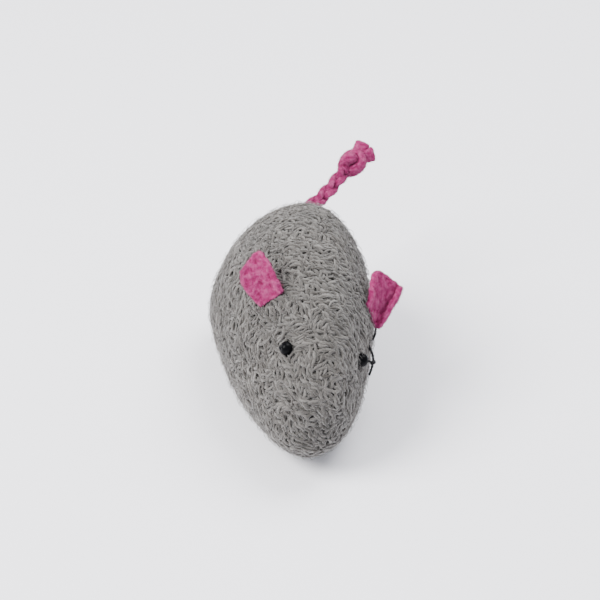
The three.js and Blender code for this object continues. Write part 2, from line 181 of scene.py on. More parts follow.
# The routes of the loose thread ends, in millimetres from under the middle of the body, as in the CAD part.
BODY_OFFSET = np.array([-12.03, -12.57, 0])
LONG_END = [
    (24.6, -29.3, 30.8),
    (24.4, -28.1, 29.6),
    (25.4, -25.8, 28.6),
    (25.7, -23.2, 29.2),
    (24.9, -20.8, 30.8),
    (25.6, -18.4, 30.8),
    (27.4, -14.6, 28.8),
    (28.2, -12.5, 28.4),
    (28.9, -10.4, 28.2),
    (29.7, -6.4, 28.2),
    (30.3, -2.5, 28.0),
    (30.7, 1.0, 27.2),
    (30.9, 2.3, 26.4),
    (31.0, 3.5, 25.4),
    (31.2, 5.0, 23.0),
]
SHORT_END = [(24.3, -30.6, 30.7), (23.8, -31.0, 29.3), (23.2, -31.2, 27.6)]

# ---- Driving values: colours ------------------------------------------------------------------------------
WOOL_DARK = (0.038, 0.034, 0.031)
WOOL_MID = (0.099, 0.092, 0.086)
WOOL_LIGHT = (0.194, 0.184, 0.174)
PINK_DARK = (0.15, 0.003, 0.040)
PINK_MID = (0.265, 0.018, 0.105)
PINK_LIGHT = (0.37, 0.066, 0.182)
BLACK_DARK = (0.004, 0.004, 0.005)
BLACK_MID = (0.008, 0.008, 0.010)
BLACK_LIGHT = (0.014, 0.014, 0.017)
FILLING_DARK = (0.5, 0.5, 0.48)
FILLING_MID = (0.7, 0.69, 0.66)
FILLING_LIGHT = (0.8, 0.79, 0.76)


# ---- Small helpers ------------------------------------------------------------------------------------
def link(obj):
    bpy.context.scene.collection.objects.link(obj)
    return obj


def shade_smooth(mesh):
    mesh.polygons.foreach_set("use_smooth", [True] * len(mesh.polygons))


def set_tone(mesh, values):
    """Gives each vertex the shade, from 0 to 1, that the fibre materials read."""
    layer = mesh.attributes.new("tone", "FLOAT", "POINT")
    layer.data.foreach_set("value", np.asarray(values, np.float32))


def mesh_object(name, vertices, faces, material=None):
    mesh = bpy.data.meshes.new(name)
    mesh.from_pydata([tuple(v) for v in vertices], [], [tuple(f) for f in faces])
    mesh.update()
    shade_smooth(mesh)
    obj = link(bpy.data.objects.new(name, mesh))
    if material:
        mesh.materials.append(material)
    return obj


def apply_modifiers(obj):
    bpy.context.view_layer.update()
    evaluated = obj.evaluated_get(bpy.context.evaluated_depsgraph_get())
    mesh = bpy.data.meshes.new_from_object(evaluated)
    old = obj.data
    obj.modifiers.clear()
    obj.data = mesh
    bpy.data.meshes.remove(old)
    return obj


def soften(obj, passes, voxel=FLEECE_VOXEL, factor=0.6):
    """Remeshes a piece finely and rounds its edges."""
    remesh = obj.modifiers.new("remesh", "REMESH")
    remesh.mode = "VOXEL"
    remesh.voxel_size = voxel
    smooth = obj.modifiers.new("smooth", "SMOOTH")
    smooth.iterations = passes
    smooth.factor = factor
    return apply_modifiers(obj)


def move_vertices(obj, points):
    obj.data.vertices.foreach_set("co", np.asarray(points, np.float32).ravel())
    obj.data.update()


def vertex_arrays(obj):
    count = len(obj.data.vertices)
    points = np.empty(count * 3)
    normals = np.empty(count * 3)
    obj.data.vertices.foreach_get("co", points)
    obj.data.vertices.foreach_get("normal", normals)
    return points.reshape(-1, 3), normals.reshape(-1, 3)


def catmull(points, per_span):
    """Points along a smooth curve through the given ones, as an array."""
    p = np.array([tuple(q) for q in points], float)
    p = np.concatenate([[2 * p[0] - p[1]], p, [2 * p[-1] - p[-2]]])
    out = []
    for p0, p1, p2, p3 in zip(p, p[1:], p[2:], p[3:]):
        for k in range(per_span):
            t = k / per_span
            out.append(
                0.5 * (2 * p1 + (p2 - p0) * t + (2 * p0 - 5 * p1 + 4 * p2 - p3) * t**2
                       + (3 * p1 - p0 - 3 * p2 + p3) * t**3)
            )
    out.append(p[-2])
    return np.array(out)


def unit(v):
    return v / np.maximum(np.linalg.norm(v, axis=-1, keepdims=True), 1e-12)


def sweep_frames(path, first):
    """A normal and a binormal at each point of a path, carried along without twist."""
    tangent = unit(np.gradient(path, axis=0))
    normal = np.zeros_like(path)
    n = np.array(first, float)
    for i, t in enumerate(tangent):
        n = n - t * n.dot(t)
        n = n / np.linalg.norm(n)
        normal[i] = n
    return normal, np.cross(tangent, normal)


def sweep(path, normals, binormals, widths, heights, sides=16, power=2.6):
    """Vertices and faces of a closed bar along a path. A power above 2 flattens its oval section."""
    angle = 2 * np.pi * np.arange(sides) / sides
    c = np.sign(np.cos(angle)) * np.abs(np.cos(angle)) ** (2 / power)
    s = np.sign(np.sin(angle)) * np.abs(np.sin(angle)) ** (2 / power)
    rings = (path[:, None] + normals[:, None] * (heights[:, None] * s)[..., None]
             + binormals[:, None] * (widths[:, None] * c)[..., None])
    count = len(path)
    vertices = rings.reshape(-1, 3)
    faces = []
    for i in range(count - 1):
        for k in range(sides):
            a, b = i * sides + k, i * sides + (k + 1) % sides
            faces.append((a, b, b + sides, a + sides))
    faces.append(tuple(range(sides))[::-1])
    faces.append(tuple(range((count - 1) * sides, count * sides)))
    return vertices, faces


def node_vertices(name):
    mesh = frame["nodes"][name].data
    return np.array([tuple(v.co) for v in mesh.vertices])


# ---- Camera, floor and light --------------------------------------------------------------------------
def make_camera():
    turn = Matrix.Rotation(CAMERA_AZIMUTH, 4, "Z")
    back = Vector((0, -math.cos(CAMERA_ELEVATION), math.sin(CAMERA_ELEVATION)))
    rise = Vector((0, math.sin(CAMERA_ELEVATION), math.cos(CAMERA_ELEVATION)))
    data = bpy.data.cameras.new("camera")
    data.angle = FIELD_OF_VIEW
    data.clip_start = 0.01
    data.clip_end = 20
    camera = link(bpy.data.objects.new("camera", data))
    camera.location = CAMERA_TARGET + turn @ back * CAMERA_DISTANCE
    look = CAMERA_TARGET + turn @ rise * CAMERA_RAISE - camera.location
    camera.rotation_euler = look.to_track_quat("-Z", "Y").to_euler()
    bpy.context.scene.camera = camera


def new_material(name):
    material = bpy.data.materials.new(name)
    material.use_nodes = True
    tree = material.node_tree
    return material, tree.nodes, tree.links, tree.nodes["Principled BSDF"]


def make_floor():
    size = FLOOR_HALF_SIZE
    floor = mesh_object("floor", [(-size, -size, 0), (size, -size, 0), (size, size, 0), (-size, size, 0)],
                        [(0, 1, 2, 3)])
    material, _, _, shader = new_material("floor_paper")
    shader.inputs["Base Color"].default_value = (0.96, 0.955, 1.0, 1)
    shader.inputs["Roughness"].default_value = 0.85
    floor.data.materials.append(material)
    floor.location.z = -FLOOR_DROP


def area_light(name, location, power, color=(1, 1, 1)):
    """A broad soft light that faces the toy."""
    data = bpy.data.lights.new(name, "AREA")
    data.shape = "DISK"
    data.size = LIGHT_SIZE
    data.energy = power
    data.color = color
    light = link(bpy.data.objects.new(name, data))
    light.location = location
    light.rotation_euler = (LIGHT_TARGET - Vector(location)).to_track_quat("-Z", "Y").to_euler()


def make_light():
    world = bpy.data.worlds.new("studio")
    world.use_nodes = True
    background = world.node_tree.nodes["Background"]
    background.inputs["Color"].default_value = (0.93, 0.95, 1.0, 1)
    background.inputs["Strength"].default_value = 1.15
    bpy.context.scene.world = world
    area_light("window", location=(-0.9, -0.25, 1.0), power=40, color=(1, 0.99, 0.97))
    area_light("ceiling", location=(0.5, 0.3, 1.1), power=16)


# ---- Materials ----------------------------------------------------------------------------------------
def set_inputs(shader, **values):
    for name, value in values.items():
        shader.inputs[name.replace("_", " ")].default_value = value


def ramp(nodes, stops):
    node = nodes.new("ShaderNodeValToRGB")
    node.color_ramp.elements[0].position = stops[0][0]
    node.color_ramp.elements[0].color = (*stops[0][1], 1)
    node.color_ramp.elements[1].position = stops[-1][0]
    node.color_ramp.elements[1].color = (*stops[-1][1], 1)
    for position, color in stops[1:-1]:
        node.color_ramp.elements.new(position).color = (*color, 1)
    return node


def noise_node(nodes, links, scale, detail):
    """A noise texture fixed to the object."""
    texture = nodes.new("ShaderNodeTexNoise")
    texture.inputs["Scale"].default_value = scale
    texture.inputs["Detail"].default_value = detail
    place = nodes.new("ShaderNodeTexCoord")
    links.new(place.outputs["Object"], texture.inputs["Vector"])
    return texture


def multiply(nodes, links, a, b):
    """The product of two colour sockets."""
    node = nodes.new("ShaderNodeMix")
    node.data_type = "RGBA"
    node.blend_type = "MULTIPLY"
    node.inputs["Factor"].default_value = 1.0
    links.new(a, node.inputs[6])
    links.new(b, node.inputs[7])
    return node.outputs[2]


def bump(nodes, links, shader, height, distance):
    node = nodes.new("ShaderNodeBump")
    node.inputs["Distance"].default_value = distance
    node.inputs["Strength"].default_value = 1.0
    links.new(height, node.inputs["Height"])
    links.new(node.outputs["Normal"], shader.inputs["Normal"])


def fibre_material(name, dark, mid, light, fibre_scale=5200, bump_depth=0.05 * MM, sheen=0.25, soft=0.0):
    """Cloth whose shade varies strand by strand, with a fine fibrous bump."""
    material, nodes, links, shader = new_material(name)
    tone = nodes.new("ShaderNodeAttribute")
    tone.attribute_name = "tone"
    shade = ramp(nodes, [(0.0, dark), (0.5, mid), (1.0, light)])
    links.new(tone.outputs["Fac"], shade.inputs["Fac"])
    patches = noise_node(nodes, links, 95, 3)
    tint = ramp(nodes, [(0.3, (0.86, 0.86, 0.86)), (0.7, (1.06, 1.05, 1.04))])
    links.new(patches.outputs["Fac"], tint.inputs["Fac"])
    fibres = noise_node(nodes, links, fibre_scale, 2)
    fleck = ramp(nodes, [(0.25, (0.72, 0.72, 0.72)), (0.75, (1.12, 1.12, 1.12))])
    links.new(fibres.outputs["Fac"], fleck.inputs["Fac"])
    base = multiply(nodes, links, shade.outputs["Color"], tint.outputs["Color"])
    base = multiply(nodes, links, base, fleck.outputs["Color"])
    links.new(base, shader.inputs["Base Color"])
    bump(nodes, links, shader, fibres.outputs["Fac"], bump_depth)
    set_inputs(shader, Roughness=0.95, Sheen_Weight=sheen, Sheen_Roughness=0.5, Specular_IOR_Level=0.12,
               Subsurface_Weight=soft, Subsurface_Radius=(1, 0.95, 0.9), Subsurface_Scale=0.9 * MM)
    return material


def bead_material():
    material, nodes, links, shader = new_material("black_bead")
    scuffs = noise_node(nodes, links, 1400, 5)
    gloss = ramp(nodes, [(0.35, (0.18, 0.18, 0.18)), (0.75, (0.32, 0.32, 0.32))])
    links.new(scuffs.outputs["Fac"], gloss.inputs["Fac"])
    links.new(gloss.outputs["Color"], shader.inputs["Roughness"])
    bump(nodes, links, shader, scuffs.outputs["Fac"], 0.01 * MM)
    set_inputs(shader, Base_Color=(0.0015, 0.0015, 0.002, 1), Specular_IOR_Level=0.05)
    return material


# ---- Many strands in one mesh -------------------------------------------------------------------------
def tube_points(centre, normal, radius, sides, flat):
    """The rings of points around each strand's middle line."""
    tangent = unit(np.gradient(centre, axis=1))
    normal = unit(normal - tangent * np.sum(normal * tangent, axis=-1, keepdims=True))
    side = np.cross(tangent, normal)
    angle = 2 * np.pi * np.arange(sides) / sides
    ring = (centre[:, :, None]
            + side[:, :, None] * (radius[..., None] * np.cos(angle))[..., None]
            + normal[:, :, None] * (flat * radius[..., None] * np.sin(angle))[..., None])
    return ring.reshape(-1, 3)


def tube_faces(count, steps, sides):
    """The four-sided faces along the strands, and the caps at their two ends, as vertex numbers."""
    strand = np.arange(count) * steps * sides
    start = strand[:, None, None] + (np.arange(steps - 1) * sides)[None, :, None]
    k = np.arange(sides)[None, None, :]
    a = start + k
    b = start + (k + 1) % sides
    quads = np.stack([a, a + sides, b + sides, b], axis=-1).reshape(-1, 4)
    first = strand[:, None] + np.arange(sides)[None]
    last = first[:, ::-1] + (steps - 1) * sides
    return quads, np.concatenate([first, last])


def strands_mesh(name, centre, normal, radius, tone, material, sides=5, flat=1.0):
    """A mesh of closed tubes, with centre and normal as (strand, step, 3), radius as (strand, step) and one
    tone for each strand."""
    count, steps, _ = centre.shape
    vertices = tube_points(centre, normal, radius, sides, flat)
    quads, caps = tube_faces(count, steps, sides)
    mesh = bpy.data.meshes.new(name)
    mesh.vertices.add(len(vertices))
    mesh.vertices.foreach_set("co", vertices.astype(np.float32).ravel())
    corners = np.concatenate([quads.ravel(), caps.ravel()])
    sizes = np.concatenate([np.full(len(quads), 4), np.full(len(caps), sides)])
    mesh.loops.add(len(corners))
    mesh.loops.foreach_set("vertex_index", corners.astype(np.int32))
    mesh.polygons.add(len(sizes))
    mesh.polygons.foreach_set("loop_start", np.concatenate([[0], np.cumsum(sizes)[:-1]]).astype(np.int32))
    shade_smooth(mesh)
    mesh.update(calc_edges=True)
    set_tone(mesh, np.repeat(tone, steps * sides))
    mesh.materials.append(material)
    return link(bpy.data.objects.new(name, mesh))


class Surface:
    """A mesh object's surface, for scattering points on it and laying strands along it."""

    def __init__(self, obj):
        mesh = obj.data
        mesh.calc_loop_triangles()
        self.points, self.normals = vertex_arrays(obj)
        self.triangles = np.empty(len(mesh.loop_triangles) * 3, np.int32)
        mesh.loop_triangles.foreach_get("vertices", self.triangles)
        self.triangles = self.triangles.reshape(-1, 3)
        self.tree = BVHTree.FromPolygons([Vector(p) for p in self.points], self.triangles.tolist())

    def scatter(self, spacing, rng, tries=6):
        """Points at least a spacing apart, with their normals."""
        a, b, c = (self.points[self.triangles[:, k]] for k in range(3))
        area = 0.5 * np.linalg.norm(np.cross(b - a, c - a), axis=1)
        wanted = int(tries * area.sum() / spacing**2)
        chosen = rng.choice(len(area), wanted, p=area / area.sum())
        u, v = rng.random(wanted), rng.random(wanted)
        flip = u + v > 1
        u[flip], v[flip] = 1 - u[flip], 1 - v[flip]
        w = 1 - u - v
        corners = self.triangles[chosen]
        points = sum(self.points[corners[:, k]] * x[:, None] for k, x in enumerate((w, u, v)))
        normals = unit(sum(self.normals[corners[:, k]] * x[:, None] for k, x in enumerate((w, u, v))))
        keep = thin_out(points, spacing)
        return points[keep], normals[keep]

    def project(self, points):
        """The nearest surface points and smooth normals for an array of points."""
        flat = points.reshape(-1, 3)
        out = np.empty_like(flat)
        normals = np.empty_like(flat)
        for i, p in enumerate(flat):
            hit, normal, _, _ = self.tree.find_nearest(Vector(p))
            out[i] = hit
            normals[i] = normal
        return out.reshape(points.shape), normals.reshape(points.shape)


def thin_out(points, spacing):
    """Which points to keep so that no two are closer than the spacing, by a grid of small cells."""
    cells = {}
    keep = []
    keys = np.floor(points / spacing).astype(int)
    offsets = [(i, j, k) for i in (-1, 0, 1) for j in (-1, 0, 1) for k in (-1, 0, 1)]
    limit = spacing**2
    for index, (p, key) in enumerate(zip(points, keys)):
        near = (cells.get((key[0] + i, key[1] + j, key[2] + k)) for i, j, k in offsets)
        if all(np.sum((points[m] - p) ** 2) >= limit for cell in near if cell for m in cell):
            cells.setdefault(tuple(key), []).append(index)
            keep.append(index)
    return np.array(keep)


# ---- Body: stuffed cloth ------------------------------------------------------------------------------
def remeshed_hull():
    """The stuffed body's outline, evenly meshed."""
    bm = bmesh.new()
    for p in np.concatenate([node_vertices(name) for name in PANELS]):
        bm.verts.new(p)
    hull = bmesh.ops.convex_hull(bm, input=bm.verts)
    loose = set(hull["geom_interior"] + hull["geom_unused"])
    bmesh.ops.delete(bm, geom=[v for v in loose if isinstance(v, bmesh.types.BMVert)], context="VERTS")
    mesh = bpy.data.meshes.new("body_skin")
    bm.to_mesh(mesh)
    bm.free()
    skin = link(bpy.data.objects.new("body_skin", mesh))
    return soften(skin, 6, voxel=SKIN_VOXEL, factor=0.5)


def inflate(skin):
    """Fills the skin with pressure, as stuffing does, and keeps every point near the outline."""
    points, normals = vertex_arrays(skin)
    start = points - normals * INFLATE_START
    move_vertices(skin, start * INFLATE_SCALE)
    cloth = skin.modifiers.new("cloth", "CLOTH")
    cloth.settings.use_pressure = True
    cloth.settings.uniform_pressure_force = INFLATE_PRESSURE
    cloth.settings.effector_weights.gravity = 0
    cloth.settings.tension_stiffness = CLOTH_TENSION
    cloth.settings.bending_stiffness = CLOTH_BENDING
    cloth.collision_settings.use_collision = False
    for number in range(1, INFLATE_FRAMES + 1):
        bpy.context.scene.frame_set(number)
    apply_modifiers(skin)
    bpy.context.scene.frame_set(1)
    swollen, _ = vertex_arrays(skin)
    swollen /= INFLATE_SCALE
    rise = np.sum((swollen - points) * normals, axis=1)
    move_vertices(skin, points + normals * np.clip(rise, *INFLATE_LIMITS)[:, None])


def lump(points, normals):
    """Soft uneven stuffing, and a shallow crease along the base seam."""
    out = points.copy()
    for i, (p, n) in enumerate(zip(points, normals)):
        swell = sum(noise.noise(Vector(p) / size) * height for size, height in LUMPS)
        out[i] += n * swell * MM
    crease = np.exp(-(((out[:, 2] - SEAM_HEIGHT) / CREASE_WIDTH) ** 2)) * CREASE_DEPTH
    out -= normals * crease[:, None]
    out[:, 2] = np.maximum(out[:, 2], SKIN_LOWEST)
    return out


SEAM_HEIGHT = float(node_vertices("base_seam_thread")[:, 2].mean())


def seam_plane():
    """The upright plane that the back seam lies in: a point and a normal pointing to the toy's left."""
    points = node_vertices("back_seam_thread")
    centre = points.mean(axis=0)
    normal = np.linalg.svd(points - centre)[2][2]
    return centre, normal if normal[0] > 0 else -normal


SEAM_POINT, SEAM_NORMAL = seam_plane()


def panel_masks(points):
    """Which points lie in each panel: under the base seam, or to the right or left of the back seam."""
    off = (points - SEAM_POINT) @ SEAM_NORMAL
    above = points[:, 2] >= SEAM_HEIGHT
    return {"base": ~above, "right_side": above & (off < 0), "left_side": above & (off >= 0)}


def make_skin():
    skin = remeshed_hull()
    inflate(skin)
    subdivide = skin.modifiers.new("subdivide", "SUBSURF")
    subdivide.levels = 1
    subdivide.render_levels = 1
    apply_modifiers(skin)
    points, normals = vertex_arrays(skin)
    move_vertices(skin, lump(points, normals))
    return skin


def cloth_panels(skin, material):
    """The ground cloth as three separate padded panels, each with its thickness."""
    points, normals = vertex_arrays(skin)
    inner = points - normals * CLOTH_DEPTH
    faces = [tuple(p.vertices) for p in skin.data.polygons]
    centres = np.array([tuple(p.center) for p in skin.data.polygons])
    for panel, mask in panel_masks(centres).items():
        mine = [faces[i] for i in np.flatnonzero(mask)]
        used = sorted({v for face in mine for v in face})
        index = {v: i for i, v in enumerate(used)}
        cloth = mesh_object(f"{panel}_cloth", inner[used], [[index[v] for v in face] for face in mine],
                            material)
        solidify = cloth.modifiers.new("thickness", "SOLIDIFY")
        solidify.thickness = CLOTH_THICKNESS
        solidify.offset = -1
        apply_modifiers(cloth)
        shade_smooth(cloth.data)
        # Painted shade: the cloth under the yarn takes a dark tone for the gaps between strands.
        set_tone(cloth.data, np.full(len(cloth.data.vertices), CLOTH_PAINTED_SHADE_TONE))
        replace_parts(cloth, f"{panel}_panel")
        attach(cloth, "toy_body")


# ---- Body: the brushed yarn -----------------------------------------------------------------------------
def flow_direction(points, normals, rng):
    """Which way the yarn lies: slanting down the body, turned in soft patches, and a little at random."""
    along = YARN_LAY - normals * (normals @ YARN_LAY)[:, None]
    along = unit(along + 1e-6)
    across = np.cross(normals, along)
    patch = np.array([noise.noise(Vector(p) / PATCH_SIZE) for p in points])
    whirl = np.array([noise.noise(Vector(p) / WHIRL_SIZE + Vector((7, 3, 1))) for p in points])
    turn = PATCH_TURN * patch + WHIRL_TURN * whirl + rng.normal(0, STRAY_TURN, len(points))
    return along * np.cos(turn)[:, None] + across * np.sin(turn)[:, None]


def surface_strands(surface, points, normals, direction, length, bend, heights):
    """Centre lines that lie along a surface, bend to one side, and rise to the given heights."""
    steps = heights.shape[1]
    side = np.cross(normals, direction)
    s = np.linspace(-0.5, 0.5, steps)[None] * length[:, None]
    turn = bend[:, None] * np.linspace(-1, 1, steps)[None]
    step = length[:, None] / (steps - 1)
    forward = np.cumsum(np.cos(turn) * step, axis=1)
    sideways = np.cumsum(np.sin(np.abs(turn)) * np.sign(bend)[:, None] * step * np.sign(s + 1e-12), axis=1)
    forward -= forward.mean(axis=1, keepdims=True)
    sideways -= sideways.mean(axis=1, keepdims=True)
    raw = (points[:, None] + direction[:, None] * forward[..., None] + side[:, None] * sideways[..., None])
    foot, up = surface.project(raw)
    return foot + up * heights[..., None], up


def make_yarn(surface, material, rng):
    points, normals = surface.scatter(YARN_SPACING, rng)
    count, steps = len(points), 6
    direction = flow_direction(points, normals, rng)
    length = rng.uniform(*YARN_LENGTH, count)
    bend = rng.uniform(*YARN_BEND, count) * rng.choice([-1, 1], count)
    u = np.linspace(-1, 1, steps)[None]
    lift = rng.uniform(0.0, YARN_LIFT, count)[:, None]
    heights = lift * (1 - u**2) - YARN_END_SINK * u**4
    centre, up = surface_strands(surface, points, normals, direction, length, bend, heights)
    radius = YARN_RADIUS * rng.uniform(0.75, 1.15, count)[:, None] * (1 - YARN_TAPER * u**2)
    tone = np.clip(rng.normal(*YARN_TONE, count), 0, 1)
    for panel, mask in panel_masks(points).items():
        centre[mask, :, 2] = np.maximum(centre[mask, :, 2], YARN_RADIUS + 0.05 * MM)
        piece = strands_mesh(f"{panel}_yarn", centre[mask], up[mask], radius[mask], tone[mask], material,
                             flat=YARN_FLATNESS)
        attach(piece, "toy_body")


def fibre_layer(name, surface, material, rng, spacing, length, stand, radius, shade):
    """Fine loose fibres that stand off a surface."""
    points, normals = surface.scatter(spacing, rng)
    count, steps = len(points), 5
    direction = flow_direction(points, normals, rng)
    reach = rng.uniform(*length, count)
    bend = rng.uniform(-FIBRE_BEND, FIBRE_BEND, count)
    u = np.linspace(0, 1, steps)[None]
    rise = rng.uniform(0.15, 1.0, count)[:, None] ** 2 * stand
    heights = 0.05 * MM + rise * np.sin(u * np.pi * rng.uniform(0.5, 0.95, count)[:, None])
    centre, up = surface_strands(surface, points, normals, direction, reach, bend, heights)
    centre[..., 2] = np.maximum(centre[..., 2], FIBRE_LOWEST)
    thickness = np.repeat(rng.uniform(*radius, count)[:, None], steps, axis=1) * (1 - 0.5 * u)
    tone = np.clip(rng.normal(shade, FIBRE_SPREAD, count), 0, 1)
    return strands_mesh(name, centre, up, thickness, tone, material, sides=3)


def make_wool_fuzz(surface, material, rng):
    fuzz = fibre_layer("wool_fuzz", surface, material, rng, **WOOL_FUZZ)
    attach(fuzz, "toy_body")


def make_pile(name, surface, material, rng):
    """The short pile of brushed fleece."""
    pile = fibre_layer(name, surface, material, rng, **FLEECE_PILE)
    return pile


# ---- Ears ---------------------------------------------------------------------------------------------
def ear_frame(side):
    """The middle of an ear's base edge, and unit vectors along that edge, lengthwise, and across the tip."""
    joint = next(j for j in frame["joints"] if j["name"] == f"{side}_ear_fold")
    spec = EARS[side]
    return np.array(joint["pos_m"]), unit(joint["axis"]), unit(spec["length"]), unit(spec["tip"])


def ear_rim(across, start, turn, hem):
    """Rolls the sheet's edge forward: the distance across, the distance forward, and the angle there."""
    beyond = max(0.0, across - start) * hem
    angle = min(beyond / RIM_RADIUS, turn)
    straight = beyond - angle * RIM_RADIUS
    over = min(across, start) + RIM_RADIUS * math.sin(angle) + straight * math.cos(angle)
    return over, RIM_RADIUS * (1 - math.cos(angle)) + straight * math.sin(angle), angle


def ear_outline(across, up, slant):
    """The ear's half width at a height, and how far up the ear a point stands."""
    narrow, bulge = EAR_BULGE
    cut_across, cut_up = EAR_CORNERS
    half = EAR_WIDTH / 2 * (narrow + bulge * math.sin(2 * up)) * (1 - cut_across * up**8)
    height = EAR_LENGTH * (up * (1 + slant * across - cut_up * across**6 * up) - EAR_SUNK * (1 - up))
    return half, height


def ear_point(side, across, up, depth):
    """A point of an ear: across -1 to 1, up from the base edge 0 to 1, and a depth through the fleece."""
    origin, edge, length, tip = ear_frame(side)
    spec = EARS[side]
    turn = up * up * (3 - 2 * up)
    wide = unit(edge * (1 - turn) + tip * turn)
    face = unit(np.cross(wide, length))
    half, height = ear_outline(across, up, spec["slant"])
    start, most, hem = INNER_RIM
    if across > 0:
        start, most, hem = spec["rim"], spec["rim_turn"] * min(1, 0.45 + up), spec["hem"]
    rolled, forward, angle = ear_rim(abs(across) * half, start * half, math.radians(most), hem)
    cup = EAR_CUP * min(abs(across), 0.7) ** 2 * up - EAR_LEAN * up**2
    wave = EAR_WAVE * noise.noise(Vector((2.2 * across, 2.2 * up, 5 if side == "left" else 9))) * up
    sign = math.copysign(1, across)
    through = face * math.cos(angle) - wide * sign * math.sin(angle)
    return origin + wide * sign * rolled + length * height + face * (forward + cup + wave) + through * depth


def ear_blank(side, material):
    """The ear's fleece before it is softened: a closed sheet of even thickness."""
    columns, rows = 22, 26
    vertices, faces = [], []
    for layer in (-0.5, 0.5):
        for j in range(rows + 1):
            for i in range(columns + 1):
                vertices.append(ear_point(side, 2 * i / columns - 1, j / rows, layer * FLEECE))
    width, sheet = columns + 1, (columns + 1) * (rows + 1)
    for j in range(rows):
        for i in range(columns):
            a = j * width + i
            faces.append((a, a + width, a + width + 1, a + 1))
            faces.append((sheet + a, sheet + a + 1, sheet + a + width + 1, sheet + a + width))
    base = list(range(width))
    outer = [j * width + columns for j in range(1, rows + 1)]
    tip = [rows * width + i for i in range(columns - 1, -1, -1)]
    inner = [j * width for j in range(rows - 1, 0, -1)]
    loop = base + outer + tip + inner
    for a, b in zip(loop, loop[1:] + loop[:1]):
        faces.append((a, b, sheet + b, sheet + a))
    return mesh_object(f"{side}_ear_fleece", vertices, faces, material)


def openness(points, normals, tree, reach):
    """How much of the space around each point is free, from 0 in a deep fold to 1 in the open."""
    rays, golden_angle, lift = 9, 2.4, 0.08 * MM
    free = np.zeros(len(points))
    for k in range(rays):
        tilt = math.acos(1 - 0.8 * (k + 0.5) / rays)
        turn = golden_angle * k
        across = math.sin(tilt) * np.array([math.cos(turn), math.sin(turn), 0.3])
        for i, (p, n) in enumerate(zip(points, normals)):
            ray = Vector(n * math.cos(tilt) + across - n * (across @ n))
            hit = tree.ray_cast(Vector(p) + Vector(n) * lift, ray, reach)[3]
            free[i] += 1 if hit is None else hit / reach
    return free / rays


def tuft(piece, depth, size):
    """Raises soft tufts with pits between them, and paints shade into their tone: lighter where they rise,
    darker in the pits.
    """
    points, normals = vertex_arrays(piece)
    tufts = np.array([noise.noise(Vector(p) / size) + 0.6 * noise.noise(Vector(p) / (0.5 * size))
                      for p in points])
    grain = np.array([noise.noise(Vector(p) / (0.22 * size)) for p in points])
    move_vertices(piece, points + normals * (depth * (tufts + 0.35 * grain))[:, None])
    # Painted shade: the tone follows the tufts' height, darker in the pits between them.
    set_tone(piece.data, 0.64 + 0.5 * tufts + 0.35 * grain)
    shade_smooth(piece.data)


def felt_and_shade(pieces, depth, size, reach):
    """Makes pieces look like felted fleece, with painted shade deepening the colour where they fold or meet
    within a reach.
    """
    for piece in pieces:
        tuft(piece, depth, size)
    corners, triangles = [], []
    for piece in pieces:
        surface = Surface(piece)
        triangles.append(surface.triangles + sum(map(len, corners)))
        corners.append(surface.points)
    tree = BVHTree.FromPolygons(np.concatenate(corners).tolist(), np.concatenate(triangles).tolist())
    for piece in pieces:
        points, normals = vertex_arrays(piece)
        layer = piece.data.attributes["tone"].data
        tone = np.empty(len(points))
        layer.foreach_get("value", tone)
        # Painted shade: the tone is darkened where little space around a point is free.
        tone -= PAINTED_FOLD_SHADE * (1 - openness(points, normals, tree, reach))
        layer.foreach_set("value", np.clip(tone, 0, 1).astype(np.float32))


def make_ear(side, material, rng):
    ear = soften(ear_blank(side, material), 5)
    felt_and_shade([ear], **EAR_FELT_AND_SHADE)
    pile = make_pile(f"{side}_ear_pile", Surface(ear), material, rng)
    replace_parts(ear, f"{side}_ear")
    for piece in (ear, pile):
        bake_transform(piece)


# ---- Tail ---------------------------------------------------------------------------------------------
def tail_axes():
    """The point that the tail turns about, its forward, side and up directions, and the knot's distance."""
    joint = next(j for j in frame["joints"] if j["name"] == "tail_lift")
    pivot = np.array(joint["pos_m"])
    knot = np.mean(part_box("tail_knot"), axis=0)
    forward = unit(knot - pivot)
    side = unit(-np.array(joint["axis"]))
    return pivot, forward, side, np.cross(forward, side), float(np.linalg.norm(knot - pivot))


TAIL_PIVOT, TAIL_FORWARD, TAIL_SIDE, TAIL_UP, KNOT_DISTANCE = tail_axes()


def tail_point(forward):
    """Points on the tail's straight middle line."""
    return TAIL_PIVOT + TAIL_FORWARD * np.asarray(forward, float)[..., None]


def plait_axes():
    """Across the plait's flat side, and out of it."""
    wide = TAIL_SIDE * math.cos(PLAIT_ROLL) + TAIL_UP * math.sin(PLAIT_ROLL)
    return wide, np.cross(TAIL_FORWARD, wide)


def strip_mesh(name, path, facing, material, half_width, half_height, taper=0):
    """A flat strip along a path, with its broad side turned to face a direction."""
    tangent = unit(np.gradient(path, axis=0))
    normal = unit(facing - tangent * np.sum(tangent * facing, axis=1, keepdims=True))
    count = len(path)
    ends = np.ones(count)
    for k in range(taper):
        ends[k] = ends[-1 - k] = math.sin(math.pi / 2 * (k + 0.5) / taper)
    vertices, faces = sweep(path, normal, np.cross(tangent, normal), half_width * ends, half_height * ends)
    return mesh_object(name, vertices, faces, material)


